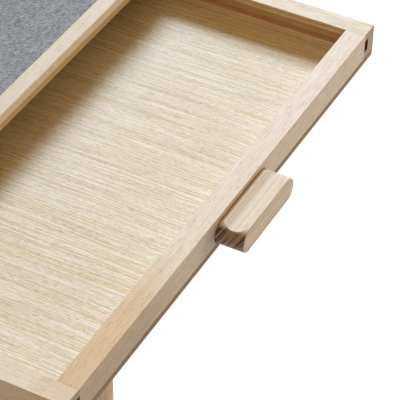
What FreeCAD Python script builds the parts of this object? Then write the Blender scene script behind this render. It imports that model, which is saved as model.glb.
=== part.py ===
import FreeCAD, Part
import math
import os

# Jigsaw puzzle table with a felt field, a raised rim, four shallow drawers and screw-in round legs.
# Millimetres, +Z up. The origin is on the floor, under the middle of the table as it stands with its
# front right drawer pulled out. The front long side faces -Y, and +X is to the right of it.

Vector = FreeCAD.Vector
X_AXIS = Vector(1, 0, 0)
Y_AXIS = Vector(0, 1, 0)
Z_AXIS = Vector(0, 0, 1)
SAME_LENGTH = 1e-4

# Drawer frame
DRAWER_WIDTH = 500.0
RAIL_THICKNESS = 18.0
RAIL_HEIGHT = 24.0
RAIL_EASE = 0.4
INNER_EASE = 0.2
GROOVE_BELOW_TOP = 6.0
GROOVE_HEIGHT = 11.0
GROOVE_DEPTH = 6.0
TONGUE_SETBACK = 12.0
TONGUE_CLEARANCE = 0.1
DRAWER_BOTTOM_THICKNESS = 5.5
DRAWER_BOTTOM_SIDE_INSET = 1.0

# Drawer handle
HANDLE_LENGTH = 85.0
HANDLE_HEIGHT = 21.0
HANDLE_REACH = 24.0
HANDLE_BELOW_TOP = 5.0
HANDLE_OFF_CENTRE = 5.5
HANDLE_EASE = 1.2
HANDLE_BACK_EASE = 0.5
FINGER_HOLLOW_DEPTH = 2.0
FINGER_HOLLOW_BACK_MARGIN = 4.0
FINGER_HOLLOW_FRONT_MARGIN = 1.5
HANDLE_SCREW_SPACING = 48.0
HANDLE_SCREW_BITE = 13.0

# Table case
CASE_DEPTH = 740.0
PANEL_THICKNESS = 18.0
BASE_THICKNESS = 9.0
DRAWER_SIDE_GAP = 1.5
DRAWER_HEAD_GAP = 4.0
DRAWER_RUN_GAP = 0.3
DRAWER_REAR_GAP = 0.5
DRAWER_PULLED_OUT = 193.0
HOUSING_DEPTH = 5.0
HOUSING_CLEARANCE = 0.1

# Table top
TABLE_HEIGHT = 730.0
TOP_THICKNESS = 6.0
RIM_WIDTH = 14.5
RIM_HEIGHT = 8.5
RIM_OVERHANG = 0.5
RIM_EASE = 0.6
FELT_THICKNESS = 3.0
FELT_EDGE_GAP = 0.5
BOARD_EASE = 0.5

# Legs and their fixings
LEG_DIAMETER = 38.0
LEG_INSET = 64.0
LEG_TOP_EASE = 1.0
LEG_FOOT_EASE = 2.5
GLIDE_DIAMETER = 30.0
GLIDE_HEIGHT = 4.0
GLIDE_EASE = 1.5
GLIDE_PIN_DIAMETER = 4.0
GLIDE_PIN_LENGTH = 14.0
PLATE_SIZE = 80.0
PLATE_THICKNESS = 2.5
PLATE_CORNER_RADIUS = 8.0
PLATE_SCREW_SPACING = 62.0
PLATE_SCREW_BITE = 6.0
BOLT_DIAMETER = 8.0
BOLT_IN_LEG = 36.0
BOLT_ABOVE_PLATE = 5.0
BOLT_HOLE_ROOM = 2.0

# Wood screws
SCREW_DIAMETER = 4.0
SCREW_SIDES = 8
SCREW_HEAD_DIAMETER = 8.0
SCREW_HEAD_HEIGHT = 2.4
PAN_TOP_DIAMETER = 5.0
SCREW_HOLE_CLEARANCE = 0.1
BASE_SCREW_BITE = 18.0
BASE_SCREWS_PER_PANEL = 4
BASE_SCREW_END_MARGIN = 60.0

# Sizes worked out from those above
drawer_height = RAIL_HEIGHT + DRAWER_BOTTOM_THICKNESS
drawer_depth = (CASE_DEPTH - PANEL_THICKNESS) / 2 - DRAWER_REAR_GAP
bay_width = DRAWER_WIDTH + 2 * DRAWER_SIDE_GAP
bay_height = DRAWER_RUN_GAP + drawer_height + DRAWER_HEAD_GAP
case_length = 2 * bay_width + 3 * PANEL_THICKNESS
table_length = case_length + 2 * RIM_OVERHANG
table_depth = CASE_DEPTH + 2 * RIM_OVERHANG
bay_centre_x = (bay_width + PANEL_THICKNESS) / 2
table_centre_y = DRAWER_PULLED_OUT / 2
screw_hole_radius = SCREW_DIAMETER / 2 + SCREW_HOLE_CLEARANCE
screw_sink_radius = SCREW_HEAD_DIAMETER / 2 + SCREW_HOLE_CLEARANCE
bolt_hole_radius = BOLT_DIAMETER / 2 + SCREW_HOLE_CLEARANCE

# Levels, from the rim down to the floor
board_top_z = TABLE_HEIGHT - RIM_HEIGHT
bay_top_z = board_top_z - TOP_THICKNESS
bay_bottom_z = bay_top_z - bay_height
base_under_z = bay_bottom_z - BASE_THICKNESS
leg_top_z = base_under_z - PLATE_THICKNESS
drawer_z = bay_bottom_z + DRAWER_RUN_GAP

CORNERS = [(side, end) for end in ("front", "back") for side in ("left", "right")]
SIGN = {"left": -1, "right": 1, "front": -1, "back": 1}


def block(low, high):
    """A rectangular block between two opposite corners."""
    size = Vector(*high) - Vector(*low)
    return Part.makeBox(size.x, size.y, size.z, Vector(*low))


def round_bar(radius, length, base, direction=Z_AXIS):
    """A plain round bar from base along direction."""
    return Part.makeCylinder(radius, length, Vector(*base), direction)


def edges_where(shape, test):
    """The edges of a shape whose two end points both pass a test."""
    picked = []
    for edge in shape.Edges:
        points = [vertex.Point for vertex in edge.Vertexes]
        if len(points) == 2 and all(test(point) for point in points):
            picked.append(edge)
    return picked


def near(value, target):
    """Whether two lengths are the same."""
    return abs(value - target) < SAME_LENGTH


def flat_face(corners):
    """A flat face with these corners in turn."""
    return Part.Face(Part.makePolygon(corners + corners[:1]))


def screw_ring(radius, centre, direction):
    """Corners about a screw's axis: screws and bolts are drawn with flat sides, to keep their facets few."""
    turn = FreeCAD.Rotation(Z_AXIS, direction)
    angles = [2 * math.pi * number / SCREW_SIDES for number in range(SCREW_SIDES)]
    spokes = [turn.multVec(Vector(math.cos(angle), math.sin(angle), 0)) for angle in angles]
    return [Vector(*centre) + spoke * radius for spoke in spokes]


def screw_bar(radius, length, base, direction):
    """The shank of a screw, bolt or pin, or the hole for one, from base along direction."""
    return flat_face(screw_ring(radius, base, direction)).extrude(direction * length)


def screw_taper(base_radius, end_radius, base, direction):
    """A screw's tapered head, or the sink for one, from base along direction."""
    base_ring = screw_ring(base_radius, base, direction)
    end_ring = screw_ring(end_radius, Vector(*base) + direction * SCREW_HEAD_HEIGHT, direction)
    sides = [[base_ring[number - 1], base_ring[number], end_ring[number], end_ring[number - 1]]
             for number in range(SCREW_SIDES)]
    faces = [flat_face(corners) for corners in [base_ring[::-1], end_ring] + sides]
    return Part.Solid(Part.Shell(faces))


def countersunk_screw(length, head, direction):
    """A flat-head wood screw: head is the middle of its face, flush with the surface it enters."""
    taper = screw_taper(SCREW_HEAD_DIAMETER / 2, SCREW_DIAMETER / 2, head, direction)
    return taper.fuse(screw_bar(SCREW_DIAMETER / 2, length, head, direction)).removeSplitter()


def countersunk_hole(length, head, direction):
    """The hole for such a screw, with its clearance all round."""
    sink = screw_taper(screw_sink_radius, screw_hole_radius, head, direction)
    return sink.fuse(screw_bar(screw_hole_radius, length + SCREW_HOLE_CLEARANCE, head, direction))


def pan_screw(bite, seat, direction):
    """A pan-head screw: seat is the centre of the face that its head bears on."""
    head = screw_taper(SCREW_HEAD_DIAMETER / 2, PAN_TOP_DIAMETER / 2, seat, -direction)
    return head.fuse(screw_bar(SCREW_DIAMETER / 2, bite, seat, direction)).removeSplitter()


# Drawer pieces, in the drawer's own frame: x across from the middle, y inwards from the front face, z up from
# the underside
half_width = DRAWER_WIDTH / 2
inner_x = half_width - RAIL_THICKNESS
groove_top_z = drawer_height - GROOVE_BELOW_TOP
groove_low_z = groove_top_z - GROOVE_HEIGHT
handle_mid_z = drawer_height - HANDLE_BELOW_TOP - HANDLE_HEIGHT / 2
handle_screw_length = RAIL_THICKNESS + HANDLE_SCREW_BITE
handle_screw_heads = [(HANDLE_OFF_CENTRE + side * HANDLE_SCREW_SPACING / 2, RAIL_THICKNESS, handle_mid_z)
                      for side in (-1, 1)]


def drawer_side(side):
    """A side of the frame, grooved along its inner face from end to end."""
    outer = side * half_width
    inner = side * inner_x
    low_x, high_x = sorted((outer, inner))
    rail = block((low_x, 0, DRAWER_BOTTOM_THICKNESS), (high_x, drawer_depth, drawer_height))
    at_top = edges_where(rail, lambda p: near(p.z, drawer_height) and near(p.x, outer))
    at_ends = [edge for y in (0, drawer_depth)
               for edge in edges_where(rail, lambda p: near(p.y, y) and near(p.z, drawer_height))]
    at_corners = [edge for y in (0, drawer_depth)
                  for edge in edges_where(rail, lambda p: near(p.y, y) and near(p.x, outer))]
    rail = rail.makeChamfer(RAIL_EASE, at_top + at_ends + at_corners)
    inside = edges_where(rail, lambda p: near(p.z, drawer_height) and near(p.x, inner))
    rail = rail.makeChamfer(INNER_EASE, inside)
    floor_x = inner + side * GROOVE_DEPTH
    low_x, high_x = sorted((inner, floor_x))
    return rail.cut(block((low_x, 0, groove_low_z), (high_x, drawer_depth, groove_top_z)))


def cross_rail():
    """A front or back rail: it butts between the sides, with a stub tongue in each side's groove.

    The tongue stands back from the outer face, so the groove stays open where it meets that face.
    """
    rail = block((-inner_x, 0, DRAWER_BOTTOM_THICKNESS), (inner_x, RAIL_THICKNESS, drawer_height))
    outer_edges = edges_where(rail, lambda p: near(p.y, 0) and near(p.z, drawer_height))
    rail = rail.makeChamfer(RAIL_EASE, outer_edges)
    inner_edges = edges_where(rail, lambda p: near(p.y, RAIL_THICKNESS) and near(p.z, drawer_height))
    rail = rail.makeChamfer(INNER_EASE, inner_edges)
    reach = inner_x + GROOVE_DEPTH - TONGUE_CLEARANCE
    tongues = block((-reach, TONGUE_SETBACK, groove_low_z + TONGUE_CLEARANCE),
                    (reach, RAIL_THICKNESS, groove_top_z - TONGUE_CLEARANCE))
    return rail.fuse(tongues).removeSplitter()


def front_rail():
    """The front rail, bored from its inner face for the handle's screws."""
    holes = [countersunk_hole(handle_screw_length, head, -Y_AXIS) for head in handle_screw_heads]
    return cross_rail().cut(holes)


def back_rail():
    """The back rail is the same rail turned round."""
    rail = cross_rail()
    rail.rotate(Vector(0, 0, 0), Z_AXIS, 180)
    rail.translate(Vector(0, drawer_depth, 0))
    return rail


def drawer_bottom():
    """The thin bottom board, fixed under the frame and flush with it at front and back."""
    half = half_width - DRAWER_BOTTOM_SIDE_INSET
    return block((-half, 0, 0), (half, drawer_depth, DRAWER_BOTTOM_THICKNESS))


def handle():
    """A bar with round ends, hollowed for the fingers above and below, its front and back edges eased.

    It sits a little to the right of the drawer's middle.
    """
    radius = HANDLE_HEIGHT / 2
    straight = HANDLE_LENGTH / 2 - radius
    low_z = handle_mid_z - radius
    high_z = handle_mid_z + radius
    top = Part.LineSegment(Vector(straight, 0, high_z), Vector(-straight, 0, high_z)).toShape()
    left = Part.Arc(Vector(-straight, 0, high_z), Vector(-straight - radius, 0, handle_mid_z),
                    Vector(-straight, 0, low_z)).toShape()
    low = Part.LineSegment(Vector(-straight, 0, low_z), Vector(straight, 0, low_z)).toShape()
    right = Part.Arc(Vector(straight, 0, low_z), Vector(straight + radius, 0, handle_mid_z),
                     Vector(straight, 0, high_z)).toShape()
    bar = Part.Face(Part.Wire([top, left, low, right])).extrude(-Y_AXIS * HANDLE_REACH)
    front_outline = [edge for edge in bar.Edges if near(edge.BoundBox.YMax, -HANDLE_REACH)]
    bar = bar.makeFillet(HANDLE_EASE, front_outline)
    back_outline = [edge for edge in bar.Edges if near(edge.BoundBox.YMin, 0)]
    bar = bar.makeChamfer(HANDLE_BACK_EASE, back_outline)
    chord = HANDLE_REACH - FINGER_HOLLOW_BACK_MARGIN - HANDLE_EASE - FINGER_HOLLOW_FRONT_MARGIN
    hollow_radius = chord * chord / (8 * FINGER_HOLLOW_DEPTH) + FINGER_HOLLOW_DEPTH / 2
    hollow_y = -FINGER_HOLLOW_BACK_MARGIN - chord / 2
    away = HANDLE_HEIGHT / 2 - FINGER_HOLLOW_DEPTH + hollow_radius
    hollow_ends = [(-HANDLE_LENGTH / 2, hollow_y, handle_mid_z + side * away) for side in (-1, 1)]
    hollows = [round_bar(hollow_radius, HANDLE_LENGTH, end, X_AXIS) for end in hollow_ends]
    bar = bar.cut(hollows)
    bar.translate(X_AXIS * HANDLE_OFF_CENTRE)
    holes = [countersunk_hole(handle_screw_length, head, -Y_AXIS) for head in handle_screw_heads]
    return bar.cut(holes)


def handle_screws():
    """Two screws from inside the drawer through the front rail into the handle."""
    screws = [countersunk_screw(handle_screw_length, head, -Y_AXIS) for head in handle_screw_heads]
    return Part.makeCompound(screws)


def drawer_pieces():
    """Every piece of one drawer, by name."""
    return {
        "left_side": drawer_side(-1),
        "right_side": drawer_side(1),
        "front_rail": front_rail(),
        "back_rail": back_rail(),
        "bottom": drawer_bottom(),
        "handle": handle(),
        "handle_screws": handle_screws(),
    }


def place_drawer(shape, side, end):
    """Put a drawer piece into its bay: the back drawers face the other way, and one drawer is out."""
    placed = shape.copy()
    if end == "back":
        placed.rotate(Vector(0, 0, 0), Z_AXIS, 180)
    pulled = DRAWER_PULLED_OUT if (side, end) == ("right", "front") else 0.0
    face_y = table_centre_y + SIGN[end] * (CASE_DEPTH / 2 + pulled)
    placed.translate(Vector(SIGN[side] * bay_centre_x, face_y, drawer_z))
    return placed


# Table pieces, about the table's own middle in x and y, moved to their place when written
def board(length, depth, low_z, high_z):
    """A flat board with its upper and lower edges eased."""
    shape = block((-length / 2, -depth / 2, low_z), (length / 2, depth / 2, high_z))
    level_edges = [edge for z in (low_z, high_z) for edge in edges_where(shape, lambda p: near(p.z, z))]
    return shape.makeChamfer(BOARD_EASE, level_edges)


def rim_strip(length, depth):
    """One strip of the rim along -Y, mitred at both ends, its upper edges eased."""
    outer = depth / 2
    inner = outer - RIM_WIDTH
    half = length / 2
    strip = block((-half, -outer, board_top_z), (half, -inner, TABLE_HEIGHT))
    upper = [edge for y in (-outer, -inner)
             for edge in edges_where(strip, lambda p: near(p.y, y) and near(p.z, TABLE_HEIGHT))]
    strip = strip.makeChamfer(RIM_EASE, upper)
    mitred = Part.makePolygon([Vector(-half, -outer, board_top_z), Vector(half, -outer, board_top_z),
                               Vector(half - RIM_WIDTH, -inner, board_top_z),
                               Vector(-half + RIM_WIDTH, -inner, board_top_z),
                               Vector(-half, -outer, board_top_z)])
    return strip.common(Part.Face(mitred).extrude(Z_AXIS * RIM_HEIGHT))


def turned(shape, degrees):
    """A copy turned about the table's upright middle line."""
    copy = shape.copy()
    copy.rotate(Vector(0, 0, 0), Z_AXIS, degrees)
    return copy


spine_half_length = case_length / 2 - PANEL_THICKNESS + HOUSING_DEPTH - HOUSING_CLEARANCE
lap_half_width = PANEL_THICKNESS / 2 + HOUSING_CLEARANCE
lap_z = bay_bottom_z + bay_height / 2
panel_mid_x = (case_length - PANEL_THICKNESS) / 2


def panel_screw_places():
    """Where the base is screwed to the panels: x and y of each screw."""
    run = CASE_DEPTH - 2 * BASE_SCREW_END_MARGIN
    step = run / (BASE_SCREWS_PER_PANEL - 1)
    return [(x, -run / 2 + number * step)
            for x in (-panel_mid_x, 0, panel_mid_x) for number in range(BASE_SCREWS_PER_PANEL)]


def panel_screw_holes():
    """The screws' holes through the base and up into the panels."""
    length = BASE_THICKNESS + BASE_SCREW_BITE
    return [countersunk_hole(length, (x, y, base_under_z), Z_AXIS) for x, y in panel_screw_places()]


def upright_panel(mid_x):
    """A panel from front to back between base and top, bored for its screws."""
    half = PANEL_THICKNESS / 2
    panel = block((mid_x - half, -CASE_DEPTH / 2, bay_bottom_z), (mid_x + half, CASE_DEPTH / 2, bay_top_z))
    return panel.cut(panel_screw_holes())


def side_panel(side):
    """An outer panel, housed across its inner face for the end of the spine."""
    inner = side * (case_length / 2 - PANEL_THICKNESS)
    low_x, high_x = sorted((inner, inner + side * HOUSING_DEPTH))
    housing = block((low_x, -lap_half_width, bay_bottom_z), (high_x, lap_half_width, bay_top_z))
    return upright_panel(side * panel_mid_x).cut(housing)


def centre_divider():
    """The panel between the two bays, notched from above where the spine crosses it."""
    half = PANEL_THICKNESS / 2
    notch = block((-half, -lap_half_width, lap_z - HOUSING_CLEARANCE), (half, lap_half_width, bay_top_z))
    return upright_panel(0).cut(notch)


def spine():
    """The rail behind the drawers, from panel to panel, notched from below over the divider."""
    half = PANEL_THICKNESS / 2
    rail = block((-spine_half_length, -half, bay_bottom_z), (spine_half_length, half, bay_top_z))
    return rail.cut(block((-lap_half_width, -half, bay_bottom_z), (lap_half_width, half, lap_z)))


def leg_places():
    """The legs' axes, by corner."""
    x = case_length / 2 - LEG_INSET
    y = CASE_DEPTH / 2 - LEG_INSET
    return {(side, end): (SIGN[side] * x, SIGN[end] * y) for side, end in CORNERS}


def plate_screw_places():
    """Four screws in a square about each leg's axis."""
    half = PLATE_SCREW_SPACING / 2
    return [(x + dx, y + dy) for x, y in leg_places().values()
            for dx in (-half, half) for dy in (-half, half)]


def base_board():
    """The board under the drawers, bored for the panels' screws and the leg fixings."""
    bolt_room = [screw_bar(BOLT_DIAMETER / 2 + BOLT_HOLE_ROOM, BASE_THICKNESS, (x, y, base_under_z), Z_AXIS)
                 for x, y in leg_places().values()]
    pilot_depth = PLATE_SCREW_BITE + SCREW_HOLE_CLEARANCE
    pilots = [screw_bar(screw_hole_radius, pilot_depth, (x, y, base_under_z), Z_AXIS)
              for x, y in plate_screw_places()]
    holes = bolt_room + pilots + panel_screw_holes()
    return board(case_length, CASE_DEPTH, base_under_z, bay_bottom_z).cut(holes)


def base_screws():
    """The screws up through the base into the panels."""
    length = BASE_THICKNESS + BASE_SCREW_BITE
    return Part.makeCompound([countersunk_screw(length, (x, y, base_under_z), Z_AXIS)
                              for x, y in panel_screw_places()])


def top_board():
    """The thin board that carries the felt and the rim."""
    return board(case_length, CASE_DEPTH, bay_top_z, board_top_z)


def felt_mat():
    """The felt, laid on the board inside the rim."""
    half_length = table_length / 2 - RIM_WIDTH - FELT_EDGE_GAP
    half_depth = table_depth / 2 - RIM_WIDTH - FELT_EDGE_GAP
    felt_top_z = board_top_z + FELT_THICKNESS
    return block((-half_length, -half_depth, board_top_z), (half_length, half_depth, felt_top_z))


def leg(x, y):
    """A straight round leg with eased ends, bored for its bolt above and its glide's pin below."""
    post = round_bar(LEG_DIAMETER / 2, leg_top_z - GLIDE_HEIGHT, (x, y, GLIDE_HEIGHT))
    top_edge = [edge for edge in post.Edges if near(edge.BoundBox.ZMin, leg_top_z)]
    post = post.makeChamfer(LEG_TOP_EASE, top_edge)
    foot_edge = [edge for edge in post.Edges if near(edge.BoundBox.ZMax, GLIDE_HEIGHT)]
    post = post.makeChamfer(LEG_FOOT_EASE, foot_edge)
    bolt_depth = BOLT_IN_LEG + SCREW_HOLE_CLEARANCE
    bolt_bore = screw_bar(bolt_hole_radius, bolt_depth, (x, y, leg_top_z), -Z_AXIS)
    pin_radius = GLIDE_PIN_DIAMETER / 2 + SCREW_HOLE_CLEARANCE
    pin_depth = GLIDE_PIN_LENGTH + SCREW_HOLE_CLEARANCE
    pin_bore = screw_bar(pin_radius, pin_depth, (x, y, GLIDE_HEIGHT), Z_AXIS)
    return post.cut([bolt_bore, pin_bore])


def foot_glide(x, y):
    """A nail-on glide: a disc with a bevelled lower edge and a pin up into the leg."""
    disc = round_bar(GLIDE_DIAMETER / 2, GLIDE_HEIGHT, (x, y, 0))
    low_edge = [edge for edge in disc.Edges if near(edge.BoundBox.ZMax, 0)]
    disc = disc.makeChamfer(GLIDE_EASE, low_edge)
    pin = screw_bar(GLIDE_PIN_DIAMETER / 2, GLIDE_PIN_LENGTH, (x, y, GLIDE_HEIGHT), Z_AXIS)
    return disc.fuse(pin).removeSplitter()


def leg_plates():
    """A square steel plate over each leg, with a hole for the bolt and four for screws."""
    half = PLATE_SIZE / 2
    plates = []
    for x, y in leg_places().values():
        plate = block((x - half, y - half, leg_top_z), (x + half, y + half, base_under_z))
        upright = [edge for edge in plate.Edges if edge.BoundBox.ZLength > PLATE_THICKNESS / 2]
        plate = plate.makeFillet(PLATE_CORNER_RADIUS, upright)
        holes = [screw_bar(screw_hole_radius, PLATE_THICKNESS, (screw_x, screw_y, leg_top_z), Z_AXIS)
                 for screw_x, screw_y in plate_screw_places()]
        bolt_hole = screw_bar(bolt_hole_radius, PLATE_THICKNESS, (x, y, leg_top_z), Z_AXIS)
        plates.append(plate.cut(holes + [bolt_hole]))
    return Part.makeCompound(plates)


def hanger_bolts():
    """The bolts that hold the legs: in the leg below, through the plate and up into the base's hole."""
    length = BOLT_IN_LEG + PLATE_THICKNESS + BOLT_ABOVE_PLATE
    return Part.makeCompound([screw_bar(BOLT_DIAMETER / 2, length, (x, y, leg_top_z - BOLT_IN_LEG), Z_AXIS)
                              for x, y in leg_places().values()])


def plate_screws():
    """The screws that hold the plates to the base: their heads bear on the plates from below."""
    return Part.makeCompound([pan_screw(PLATE_THICKNESS + PLATE_SCREW_BITE, (x, y, leg_top_z), Z_AXIS)
                              for x, y in plate_screw_places()])


def table_pieces():
    """Every fixed piece of the table, by name, about the table's own middle."""
    long_strip = rim_strip(table_length, table_depth)
    short_strip = rim_strip(table_depth, table_length)
    pieces = {
        "felt_mat": felt_mat(),
        "rim_front": long_strip,
        "rim_right": turned(short_strip, 90),
        "rim_back": turned(long_strip, 180),
        "rim_left": turned(short_strip, 270),
        "top_board": top_board(),
        "side_panel_left": side_panel(-1),
        "side_panel_right": side_panel(1),
        "centre_divider": centre_divider(),
        "spine": spine(),
        "base_board": base_board(),
        "base_screws": base_screws(),
        "leg_plates": leg_plates(),
        "hanger_bolts": hanger_bolts(),
        "plate_screws": plate_screws(),
    }
    for (side, end), (x, y) in leg_places().items():
        pieces[f"leg_{end}_{side}"] = leg(x, y)
        pieces[f"foot_glide_{end}_{side}"] = foot_glide(x, y)
    return pieces


def main():
    """Build every piece and write it to its own file."""
    os.makedirs("parts", exist_ok=True)
    for name, shape in table_pieces().items():
        shape.translate(Vector(0, table_centre_y, 0))
        shape.exportStep(f"parts/{name}.step")
    for name, shape in drawer_pieces().items():
        for side, end in CORNERS:
            place_drawer(shape, side, end).exportStep(f"parts/drawer_{end}_{side}_{name}.step")


main()
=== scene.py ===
import math
from collections import namedtuple

import bmesh
import bpy
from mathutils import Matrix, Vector, noise


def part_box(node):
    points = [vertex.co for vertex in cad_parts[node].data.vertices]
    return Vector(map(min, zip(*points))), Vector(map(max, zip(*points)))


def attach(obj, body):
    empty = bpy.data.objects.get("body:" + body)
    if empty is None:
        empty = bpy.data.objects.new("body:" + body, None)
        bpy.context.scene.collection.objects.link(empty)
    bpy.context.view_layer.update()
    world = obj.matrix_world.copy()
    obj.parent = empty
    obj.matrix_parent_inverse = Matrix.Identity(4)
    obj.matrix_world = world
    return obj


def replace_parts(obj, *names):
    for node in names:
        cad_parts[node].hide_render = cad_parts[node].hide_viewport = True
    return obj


# Jigsaw puzzle table with drawers: finishes, felt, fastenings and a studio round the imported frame.
# Metres, +Z up, in the frame's own place. The front long side faces -Y.

bl_info = {
    "name": "Jigsaw Puzzle Table",
    "version": (1, 0, 0),
    "blender": (4, 5, 0),
    "location": "3D View > Sidebar > Puzzle Table",
    "description": "Finishes a puzzle table: wood, veneer, felt, fastenings and a studio",
    "category": "Object",
}

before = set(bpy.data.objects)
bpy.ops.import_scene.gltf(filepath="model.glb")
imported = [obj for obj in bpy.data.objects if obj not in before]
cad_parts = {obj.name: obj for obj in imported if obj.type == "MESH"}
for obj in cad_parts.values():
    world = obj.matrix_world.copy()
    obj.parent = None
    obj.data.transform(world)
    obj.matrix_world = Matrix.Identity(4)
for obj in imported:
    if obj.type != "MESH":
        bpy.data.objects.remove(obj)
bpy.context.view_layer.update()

MM = 0.001
CORNERS = [f"{end}_{side}" for end in ("front", "back") for side in ("left", "right")]
DRAWERS = [f"drawer_{corner}" for corner in CORNERS]
OPEN_DRAWER = "drawer_front_right"

# The groove along a drawer side, below its top edge, and how far into its open ends the darker painted shade
# reaches
GROOVE_BELOW_TOP = 6 * MM
GROOVE_HEIGHT = 11 * MM
GROOVE_DEPTH = 6 * MM
MOUTH_SHADE_DEPTH = 22 * MM

# How much wider than its edges a place of painted shade is drawn
EDGE_SLACK = 0.2 * MM

# Heartwood, and the painted shade on a front rail's face at the same end: their depth below a board's top,
# how far their border wanders, on a rail as a share of its reach, and how strongly each shows on top and
# below
HEART_AND_SHADE_DEPTH = 6 * MM
SIDE_HEART_RAGGED = 2 * MM
RAIL_HEART_AND_SHADE_RAGGED = 0.3
SIDE_HEART = (0.45, 0.15)
RAIL_HEART = (1.0, 0.2)
# Painted shade: none on a front rail's top, all of it on the face below
RAIL_PAINTED_SHADE = (0.0, 1.0)

# Thin dark lines of painted shade: round a handle, along the rim's foot, and along the top of a plywood edge
HANDLE_SEAM_SHADOW = 0.8 * MM
RIM_FOOT_SHADE_HEIGHT = 0.9 * MM
PLY_SEAM_SHADE = 1.0 * MM
PLY_SEAM_SHADE_STRENGTH = 0.8

# Plywood: how many plies each board has, how softly they meet, and how far a veneer's grain wanders
FLOOR_PLIES = 3
BOARD_PLIES = {"top_board": 3, "base_board": 5}
PLY_BLUR = 0.1
VENEER_WANDER = 4 * MM

# Roughness of oiled wood and of plywood, and how far the fibres change it
WOOD_ROUGHNESS = 0.55
PLY_ROUGHNESS = 0.6
ROUGHNESS_SPREAD = 0.06

# How squarely a face has to look along an axis: where a mask for such faces starts, and where it is full
FACING = (0.6, 0.9)
CUT_FACING = (0.4, 0.7)

# The lean of the growth rings in a handle, and the slant of the felt's tufts
RING_LEAN = math.radians(31)
TUFT_SLANT = math.radians(57)

# The felt's surface: the width of its rises, the fall, step and number of their octaves, and how far a face
# has to look up to be smooth
FELT_RISE_WIDTH = 12 * MM
FELT_RISE_OCTAVES = (1.0, 2.0, 2)
FELT_SMOOTH = 0.5

# Screws: a head's width in shank widths, how far it covers its hole's edge and stands out, the flat share
# of a domed head, the rows in the base, and the seed of their turns
HEAD_TO_SHANK = 2
HEAD_COVER = 0.12 * MM
HEAD_STAND = 0.05 * MM
DOMED_FLAT = 0.62
BASE_SCREW_ROWS = 4
TURN_SEED = 4

# Sides of the round fastenings
HEAD_SIDES = 28
SHANK_SIDES = 16
PIN_SIDES = 12

# The colour sockets of a Mix node, which share their names with others
MIX_FACTOR, MIX_UNDER, MIX_OVER, MIX_RESULT = 0, 6, 7, 2

# A layer of streaks: its tone, its length, width and depth in mm, where its noise starts and ends to show,
# how strongly it shows, how many finer octaves it has, and the place in the noise where it is read
Streak = namedtuple("Streak", "tone length width depth start end strength detail place", defaults=[0.0])

# How far apart the streaks of one wood are read in the noise
NOISE_STEP = 7.3


def linear(hex_colour):
    """An sRGB hex colour as linear red, green, blue and alpha."""
    channels = [int(hex_colour[at:at + 2], 16) / 255 for at in (1, 3, 5)]
    return [c / 12.92 if c <= 0.04045 else ((c + 0.055) / 1.055) ** 2.4 for c in channels] + [1.0]


def colour_property(name, description, hex_colour):
    """A colour that a user may change."""
    return bpy.props.FloatVectorProperty(name=name, description=description, default=linear(hex_colour),
                                         size=4, min=0.0, max=1.0, subtype="COLOR")


def length_property(name, description, millimetres):
    """A size that a user may change."""
    return bpy.props.FloatProperty(
        name=name, description=description, default=millimetres * MM, min=0.0, unit="LENGTH")


def angle_property(name, description, degrees):
    """An angle that a user may change."""
    return bpy.props.FloatProperty(
        name=name, description=description, default=math.radians(degrees), unit="ROTATION")


def amount_property(name, description, amount, subtype="NONE"):
    """Another amount that a user may change."""
    return bpy.props.FloatProperty(
        name=name, description=description, default=amount, min=0.0, subtype=subtype)


class WoodSettings(bpy.types.PropertyGroup):
    """Colours of the woods."""
    frame_colour: colour_property("Drawer frame", "Rubberwood of the drawer rails and left sides", "#EADED0")
    second_colour: colour_property("Second board", "Rubberwood of the drawers' right sides", "#DFD2C1")
    heart_colour: colour_property("Heartwood", "Stain of the warmer wood at one end of a board", "#F2E0C2")
    # Painted shade: a grey that darkens a front rail's face at its heartwood end
    painted_shade_colour: colour_property("Painted front shade", "Stain of that end on a front rail's face", "#E9E8E6")
    # Painted light: the rim's tone is near white so that its shaded sides look lit, and its top is toned
    # darker again
    rim_colour: colour_property("Rim", "Rubberwood of the rim, as its sides show", "#FFF8EE")
    rim_top_colour: colour_property("Rim top", "Darker tone of the rim's top, against its painted-light sides", "#DCD8D5")
    # Painted shade: the dark line along the rim's foot, where it meets the board
    rim_foot_colour: colour_property("Rim foot", "Painted shade along the rim's foot", "#CCB698")
    handle_colour: colour_property("Handle", "Ash of the handles", "#E8DAC8")
    leg_colour: colour_property("Leg", "Rubberwood of the legs", "#E4C9AF")
    case_colour: colour_property("Case", "Rubberwood of the panels, divider and spine", "#E4D2BA")
    veneer_colour: colour_property("Drawer floor", "Veneer of the drawer bottoms", "#EDE8DB")
    ply_colour: colour_property("Boards", "Birch plywood of the top and base boards", "#E2CDA9")
    # Painted shade: a warmer tone on the drawer sides' faces that look into the drawer
    inner_shade_colour: colour_property("Inner face", "Stain of the drawer sides' inner faces", "#FFFAEC")
    # Painted shade: a warmer, darker tone on the walls of the grooves
    groove_shade_colour: colour_property("Groove", "Painted shade in the grooves", "#F6E6D0")
    # Painted shade: darker lines along the drawer sides' inner faces
    inner_line_shade_colour: colour_property("Inner lines", "Darker lines along the drawer sides' inner faces", "#C39C74")
    # Painted shade: dark brown inside the grooves' open ends
    mouth_shade_colour: colour_property("Groove mouths", "Darker painted shade in the grooves' open ends", "#8A5E3C")
    # Painted shade: the dark line in the seam round a handle and along the top of a plywood edge
    seam_shade_colour: colour_property("Seam", "Painted shade in the line where two pieces meet", "#4A2A14")
    board_edge_colour: colour_property("Board edge", "Cut edge of the top and base boards", "#E8C48C")
    floor_edge_colour: colour_property("Floor edge", "Cut edge of the drawer bottoms", "#A08058")
    # This reach along a front rail is shared by its heartwood and the painted shade on its face
    heart_and_shade_length: length_property("Heartwood length", "Reach of the warmer wood along a front rail", 150)
    side_heart_length: length_property("Side heartwood", "Reach of the warmer wood along a left side", 30)


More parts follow.
